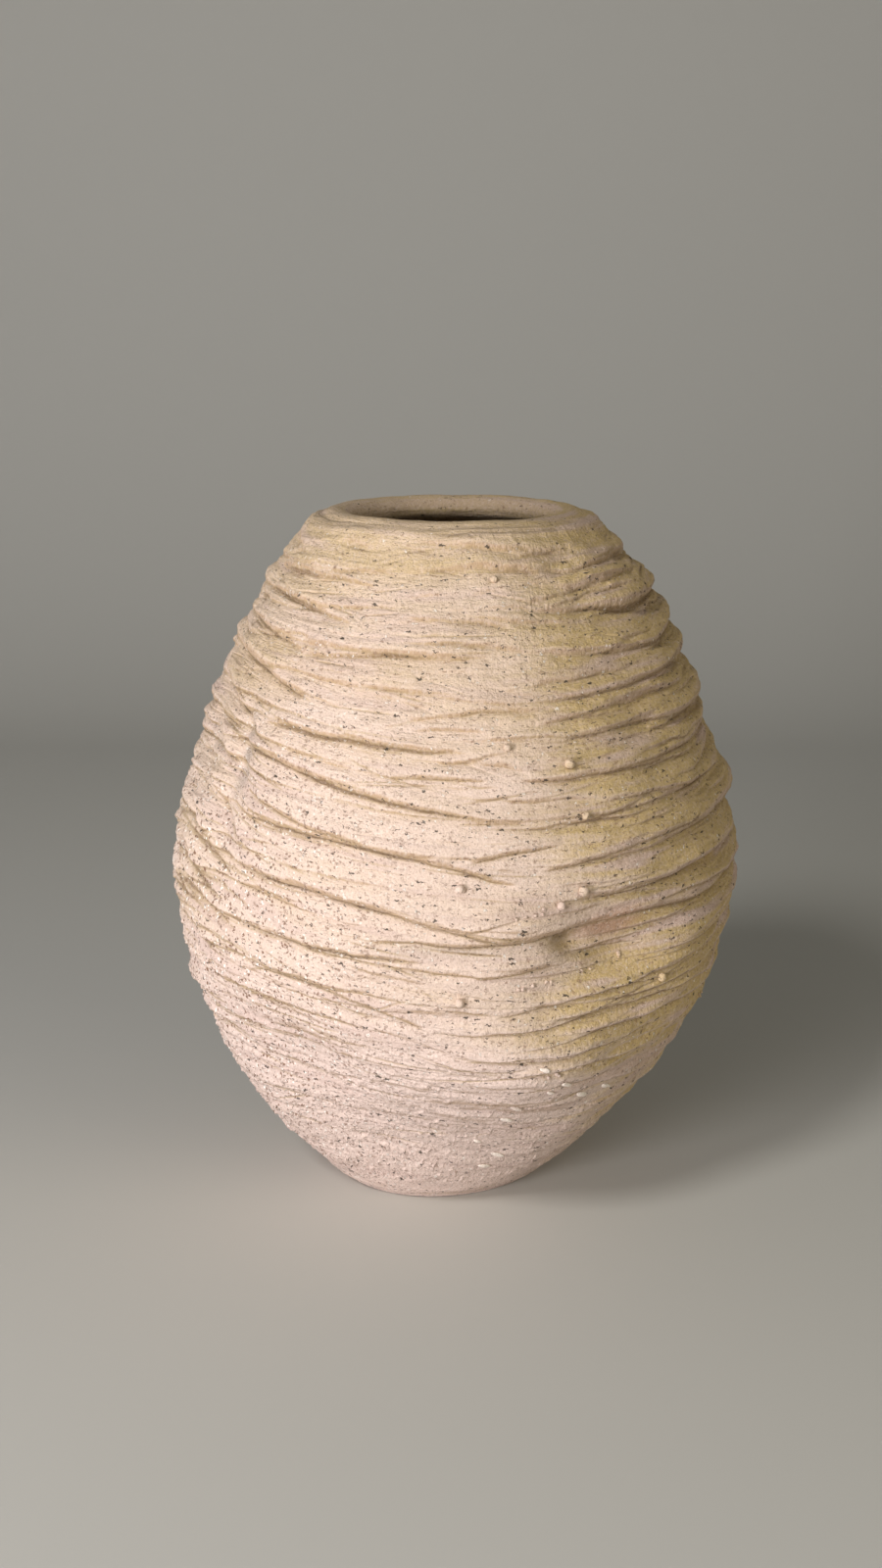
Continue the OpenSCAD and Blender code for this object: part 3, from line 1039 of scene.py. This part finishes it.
def nearest_place(point):
    """Index of the surface grid point nearest to a point in mm, and the outward normal there."""
    away = np.linalg.norm(OUTER - point, axis=-1)
    row, column = np.unravel_index(np.argmin(away), away.shape)
    up = OUTER[min(row + 3, len(OUTER) - 1), column] - OUTER[max(row - 3, 0), column]
    along = OUTER[row, (column + 2) % COLUMNS] - OUTER[row, column - 2]
    normal = np.cross(along, up)
    return row, column, normal / np.linalg.norm(normal)


def lump(middle, normal, radii, seed, rings=12, sides=16):
    """Points and faces of one small lump of clay: a ball with soft random dents."""
    rng = np.random.default_rng(seed)
    side = np.cross(normal, (0.3, 0.2, 1.0))
    side /= np.linalg.norm(side)
    frame_axes = np.stack([side, np.cross(normal, side), normal])
    waves = rng.normal(0, 1, (5, 3)) * 1.7
    phases = rng.uniform(0, 2 * np.pi, 5)
    points = [(0, 0, -1)]
    for i in range(1, rings):
        tilt = np.pi * i / rings
        for k in range(sides):
            spin = 2 * np.pi * (k + 0.5 * (i % 2)) / sides
            points.append((np.sin(tilt) * np.cos(spin), np.sin(tilt) * np.sin(spin), -np.cos(tilt)))
    points.append((0, 0, 1))
    points = np.array(points)
    dents = np.sin(points @ waves.T + phases).mean(1)
    points = points * (1 + 0.28 * dents)[:, None] * np.asarray(radii)
    points = middle + points @ frame_axes
    faces = [(0, 1 + (k + 1) % sides, 1 + k) for k in range(sides)]
    for i in range(rings - 2):
        for k in range(sides):
            low, high = 1 + i * sides, 1 + (i + 1) * sides
            following = (k + 1) % sides
            faces.append((low + k, low + following, high + following, high + k))
    last = len(points) - 1
    faces += [(last, last - sides + k, last - sides + (k + 1) % sides) for k in range(sides)]
    return points, faces


def lump_piece(name, lumps, material):
    """One piece made of many lumps, riding on the vase."""
    points, faces = [], []
    for some_points, some_faces in lumps:
        start = len(points)
        points.extend(some_points)
        faces.extend([tuple(start + i for i in face) for face in some_faces])
    points = np.asarray(points)
    mesh = bpy.data.meshes.new(name)
    mesh.from_pydata((points * MM).tolist(), [], faces)
    mesh.polygons.foreach_set("use_smooth", np.ones(len(mesh.polygons), bool))
    put_vectors(mesh, "clay_shade_and_stain", 0 * points)
    put_vectors(mesh, "clay_place", points * MM)
    mesh.materials.append(material)
    obj = add_object(name, mesh)
    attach(obj, "root")
    return obj


def ball_middles():
    """The middles and radii of the CAD balls, which are all in one node."""
    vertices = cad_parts["clay_pellets"].data.vertices
    points = np.array([v.co for v in vertices]) / MM
    balls = []
    while len(points):
        same = np.linalg.norm(points - points[0], axis=1) < NEAREST_BALLS
        middle = (points[same].min(0) + points[same].max(0)) / 2
        balls.append((middle, np.ptp(points[same][:, 2]) / 2))
        points = points[~same]
    return balls


def make_pellets():
    """The small balls of clay, in one piece, where the CAD has them."""
    lumps = []
    for index, (middle, radius) in enumerate(ball_middles()):
        row, column, normal = nearest_place(middle)
        seat = OUTER[row, column] + normal * radius * PELLET_SEAT
        lumps.append(lump(seat, normal, (radius, radius, radius * PELLET_FLAT), 300 + index))
    piece = lump_piece("fired_clay_pellets", lumps, WALL)
    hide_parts("clay_pellets")


# Pale chips of dry clay pressed into the face: azimuth, height, half length
CHIPS = [
    (-71, 91, 2.4), (-65, 81, 3.2), (-68, 77, 2.4), (-58, 70, 3.6), (-50, 70, 2.6), (-74, 68, 3.4),
    (-75, 60, 3.2), (-72, 33, 3.6), (-75, 25, 3.4), (-80, 44, 2.0), (150, 60, 2.6), (35, 72, 3.0),
]
# Rows of loose crumbs left along a drag mark: azimuth and height of the row's ends, how many
CRUMB_ROWS = [
    ((-80, 162), (-72, 165), 7), ((-64, 132), (-52, 138), 6), ((-79, 129), (-70, 131), 7),
    ((-70, 86), (-62, 90), 5), ((-132, 268), (-120, 266), 5), ((-150, 118), (-128, 112), 9),
    ((20, 150), (34, 154), 6), ((100, 232), (112, 230), 6), ((-30, 96), (-18, 101), 6),
]


def on_face(azimuth, height):
    """The point of the outer face at an azimuth and height."""
    column = int(np.argmin(np.abs(wrap(surface.azimuth - azimuth))))
    row = int(np.argmin(np.abs(OUTER[:, column, 2] - height)))
    return OUTER[row, column]


def make_chips():
    """The dry chips and the rows of crumbs: two pieces with no CAD node of their own."""
    rng = np.random.default_rng(77)
    lumps, crumbs = [], []
    for azimuth, height, half in CHIPS:
        row, column, normal = nearest_place(on_face(azimuth, height))
        seat = OUTER[row, column] + normal * 0.4
        lumps.append(lump(seat, normal, (half, 0.3 * half + 0.3, 0.7), int(rng.integers(1, 9999))))
    for (left, low), (right, high), count in CRUMB_ROWS:
        for share in rng.uniform(0, 1, count):
            spot = on_face(mix(left, right, share), mix(low, high, share) + rng.normal(0, 0.7))
            row, column, normal = nearest_place(spot)
            size = rng.uniform(0.45, 0.95)
            seat = OUTER[row, column] + normal * 0.3 * size
            shape = (size * 1.2, size, 0.8 * size)
            crumbs.append(lump(seat, normal, shape, int(rng.integers(1, 9999)), 6, 9))
    lump_piece("dry_clay_chips", lumps, CHIP)
    lump_piece("clay_crumb_rows", crumbs, WALL)


make_pellets()
make_chips()

# -------- floor and light
FLOOR_GREY = (0.56, 0.55, 0.52, 1)
ROOM_COLOUR = (0.80, 0.82, 0.80, 1)
ROOM_STRENGTH = 0.11
# Name, place and aim in metres, size, power, colour
LAMPS = [
    ("key", (-0.95, -1.25, 0.25), (0, 0, 0.13), 0.6, 22, (1.0, 0.975, 0.985)),
    ("high", (-0.78, -1.12, 1.35), (0, 0, 0.16), 0.42, 12.5, (1.0, 0.98, 0.93)),
    ("fill", (1.25, -0.95, 0.62), (0, 0, 0.14), 1.0, 6.2, (1.0, 0.93, 0.74)),
]


def make_floor():
    """A plain pale floor that curves up behind the vase."""
    mesh = bpy.data.meshes.new("studio_floor")
    width, front, back, height = 4.0, -1.2, 1.6, 2.4
    turn_r, steps = 0.7, 16
    profile = [(front, 0.0)]
    for k in range(steps + 1):
        angle = math.pi / 2 * k / steps
        profile.append((back - turn_r + turn_r * math.sin(angle), turn_r - turn_r * math.cos(angle)))
    profile.append((back, height))
    points = [(x, y, z) for y, z in profile for x in (-width / 2, width / 2)]
    faces = [(2 * k, 2 * k + 1, 2 * k + 3, 2 * k + 2) for k in range(len(profile) - 1)]
    mesh.from_pydata(points, [], faces)
    mesh.polygons.foreach_set("use_smooth", [True] * len(faces))
    floor = add_object("studio_floor", mesh)
    paint = bpy.data.materials.new("studio_floor_paint")
    paint.use_nodes = True
    shader = paint.node_tree.nodes["Principled BSDF"]
    shader.inputs["Base Color"].default_value = FLOOR_GREY
    shader.inputs["Roughness"].default_value = 0.9
    mesh.materials.append(paint)


def area_light(name, place, aim, size, power, colour):
    data = bpy.data.lights.new(name, "AREA")
    data.shape = "DISK"
    data.size = size
    data.energy = power
    data.color = colour
    lamp = add_object(name, data)
    lamp.location = place
    lamp.rotation_euler = (Vector(aim) - Vector(place)).to_track_quat("-Z", "Y").to_euler()


make_floor()
for lamp in LAMPS:
    area_light(*lamp)
world = bpy.data.worlds.new("soft_room")
world.use_nodes = True
world.node_tree.nodes["Background"].inputs[0].default_value = ROOM_COLOUR
world.node_tree.nodes["Background"].inputs[1].default_value = ROOM_STRENGTH
bpy.context.scene.world = world
bpy.context.scene.view_settings.view_transform = "Standard"
